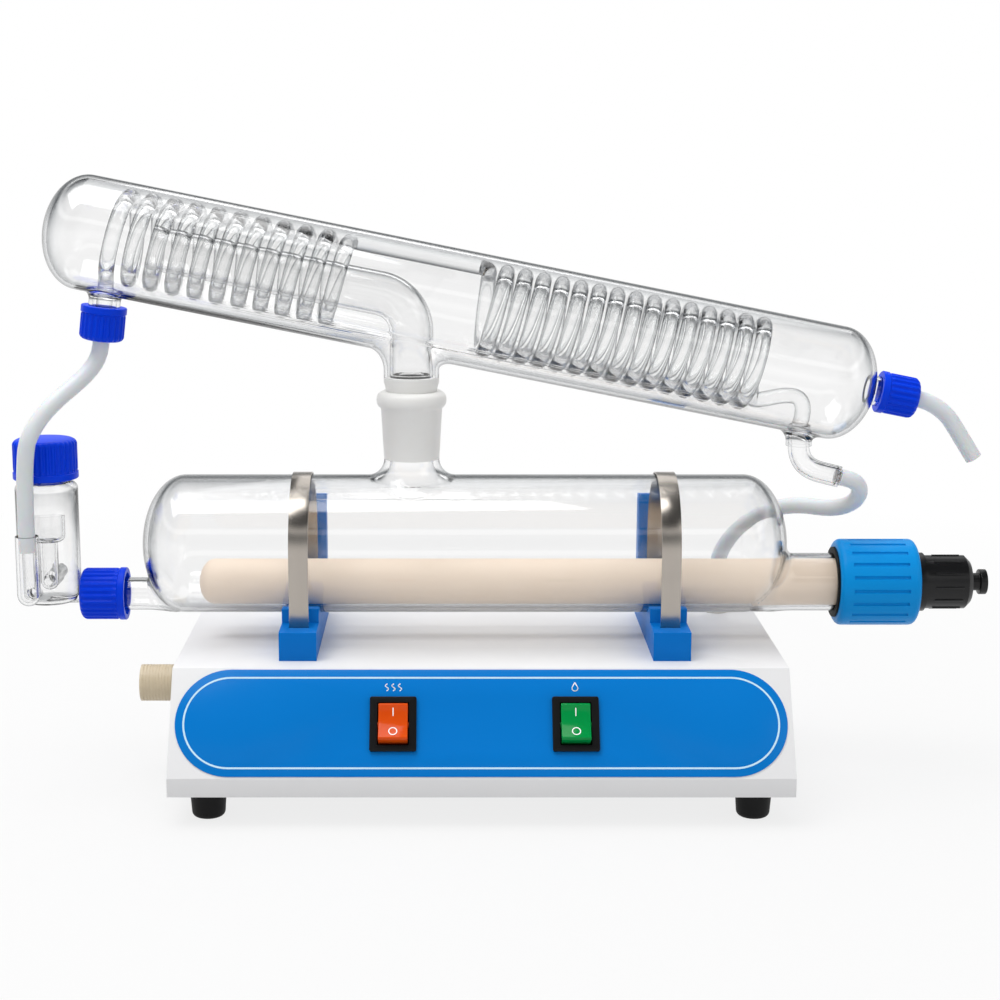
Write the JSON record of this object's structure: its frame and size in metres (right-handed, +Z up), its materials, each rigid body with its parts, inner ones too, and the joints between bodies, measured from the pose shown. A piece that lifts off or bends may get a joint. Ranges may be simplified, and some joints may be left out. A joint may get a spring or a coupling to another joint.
{
  "type": "glass water distiller",
  "caption": "Bench water still: clear glass boiler strapped to a white housing with rocker switches, and a sloping coil condenser on its ground joint.",
  "frame": {"origin": "on the bench, under the middle of the still's bounding box (the free hose left out)", "axes": "+X along the boiler from the water inlet to the heater plug, +Y to the back, away from the front label, +Z up"},
  "size_m": [0.563, 0.1826, 0.3469],
  "materials": {
    "painted_steel": "fine-textured white powder coat",
    "zinc_steel": "zinc-plated sheet",
    "screw_steel": "plated",
    "black_rubber": "matt",
    "label_film": "glossy polyester film",
    "black_plastic": "moulded satin",
    "orange_plastic": "glossy lit rocker",
    "green_plastic": "glossy lit rocker",
    "brass_blades": "plain stamped",
    "beige_plastic": "moulded satin",
    "grey_plastic": "moulded satin",
    "white_plastic": "moulded satin",
    "silicone_hose": "translucent silicone",
    "block_plastic": "machined and satin",
    "strap_steel": "brushed along its length",
    "clear_glass": "clear borosilicate, fire polished",
    "ground_glass": "ground, translucent",
    "ceramic_sheath": "unglazed cream ceramic",
    "heater_alloy": "dull resistance element",
    "nut_plastic": "moulded satin",
    "red_silicone": "matt",
    "cap_plastic": "moulded gloss"
  },
  "bodies": {
    "root": {"base_housing": "painted_steel", "base_plate": "zinc_steel", "rubber_feet": "black_rubber", "foot_screws": "screw_steel", "foot_nuts": "screw_steel", "plate_screws": "screw_steel", "front_label": "label_film", "heat_switch_body": "black_plastic", "heat_switch_terminals": "brass_blades", "power_switch_body": "black_plastic", "power_switch_terminals": "brass_blades", "inlet_valve": "beige_plastic", "valve_coil": "black_plastic", "inlet_flange": "grey_plastic", "inlet_washer": "black_rubber", "valve_hose": "silicone_hose", "hose_bulkhead": "beige_plastic", "terminal_block": "white_plastic", "safety_thermostat": "black_plastic", "mains_inlet": "black_plastic", "heater_socket": "black_plastic", "clamp_support_left": "block_plastic", "clamp_support_right": "block_plastic", "clamp_strap_left": "strap_steel", "clamp_strap_right": "strap_steel", "support_screws": "screw_steel", "boiler_vessel": "clear_glass", "joint_socket": "ground_glass", "level_vessel": "clear_glass", "overflow_standpipe": "clear_glass", "condenser_jacket": "clear_glass", "joint_cone": "ground_glass", "steam_tube": "clear_glass", "upper_coil": "clear_glass", "lower_coil": "clear_glass", "water_elbow": "clear_glass", "feed_hose": "silicone_hose", "water_hose": "silicone_hose", "distillate_hose": "silicone_hose"},
    "heat_rocker": {"heat_rocker": "orange_plastic"},
    "power_rocker": {"power_rocker": "green_plastic"},
    "level_lid": {"level_cap_liner": "white_plastic"},
    "level_cap": {"level_cap": "cap_plastic"},
    "feed_ring": {"feed_nozzle_seal": "red_silicone"},
    "feed_cap": {"feed_nozzle_cap": "cap_plastic"},
    "outlet_ring": {"outlet_seal": "red_silicone"},
    "outlet_cap": {"outlet_cap": "cap_plastic"},
    "inlet_ring": {"boiler_inlet_seal": "red_silicone"},
    "inlet_cap": {"boiler_inlet_cap": "cap_plastic"},
    "heater_unit": {"heater_sheath": "ceramic_sheath", "heater_core": "heater_alloy", "heater_gasket": "black_rubber", "heater_plug": "black_plastic", "plug_gland": "black_rubber"},
    "heater_nut": {"heater_nut": "nut_plastic"}
  },
  "joints": [
    {"name": "heat_rocker_tilt", "type": "hinge", "parent": "root", "child": "heat_rocker", "pos_m": [-0.061, -0.07486, 0.05264], "axis": [1, 0, 0], "range_deg": [0, 16]},
    {"name": "power_rocker_tilt", "type": "hinge", "parent": "root", "child": "power_rocker", "pos_m": [0.0385, -0.07486, 0.05264], "axis": [1, 0, 0], "range_deg": [0, 16]},
    {"name": "level_cap_lift", "type": "slide", "parent": "root", "child": "level_lid", "axis": [0, 0, 1], "range_m": [0, 0.01001]},
    {"name": "level_cap_turn", "type": "hinge", "parent": "level_lid", "child": "level_cap", "pos_m": [-0.2628, 0.00875, 0.1922], "axis": [0, 0, 1], "range_deg": [0, 900]},
    {"name": "feed_cap_travel", "type": "slide", "parent": "root", "child": "feed_ring", "axis": [-0.1219, 0, -0.9925], "range_m": [0, 0.00201]},
    {"name": "feed_cap_turn", "type": "hinge", "parent": "feed_ring", "child": "feed_cap", "pos_m": [-0.2254, 0.00875, 0.27684], "axis": [-0.1219, 0, -0.9925], "range_deg": [0, 180]},
    {"name": "outlet_cap_travel", "type": "slide", "parent": "root", "child": "outlet_ring", "axis": [0.9806, 0, -0.1961], "range_m": [0, 0.00201]},
    {"name": "outlet_cap_turn", "type": "hinge", "parent": "outlet_ring", "child": "outlet_cap", "pos_m": [0.21472, 0.00875, 0.22466], "axis": [0.9806, 0, -0.1961], "range_deg": [0, 180]},
    {"name": "inlet_cap_travel", "type": "slide", "parent": "root", "child": "inlet_ring", "axis": [-1, 0, 0], "range_m": [0, 0.00068]},
    {"name": "inlet_cap_turn", "type": "hinge", "parent": "inlet_ring", "child": "inlet_cap", "pos_m": [-0.218, 0.00875, 0.106], "axis": [-1, 0, 0], "range_deg": [0, 60]},
    {"name": "heater_draw", "type": "slide", "parent": "root", "child": "heater_unit", "axis": [1, 0, 0], "range_m": [0, 0.00801]},
    {"name": "heater_nut_turn", "type": "hinge", "parent": "heater_unit", "child": "heater_nut", "pos_m": [0.1935, 0.00875, 0.113], "axis": [1, 0, 0], "range_deg": [0, 720]}
  ],
  "couplings": [
    {"joint": "level_cap_lift", "follows": "level_cap_turn", "m_per_rad": 0.00063662},
    {"joint": "feed_cap_travel", "follows": "feed_cap_turn", "m_per_rad": 0.00063662},
    {"joint": "outlet_cap_travel", "follows": "outlet_cap_turn", "m_per_rad": 0.00063662},
    {"joint": "inlet_cap_travel", "follows": "inlet_cap_turn", "m_per_rad": 0.00063662},
    {"joint": "heater_draw", "follows": "heater_nut_turn", "m_per_rad": 0.00063662}
  ]
}
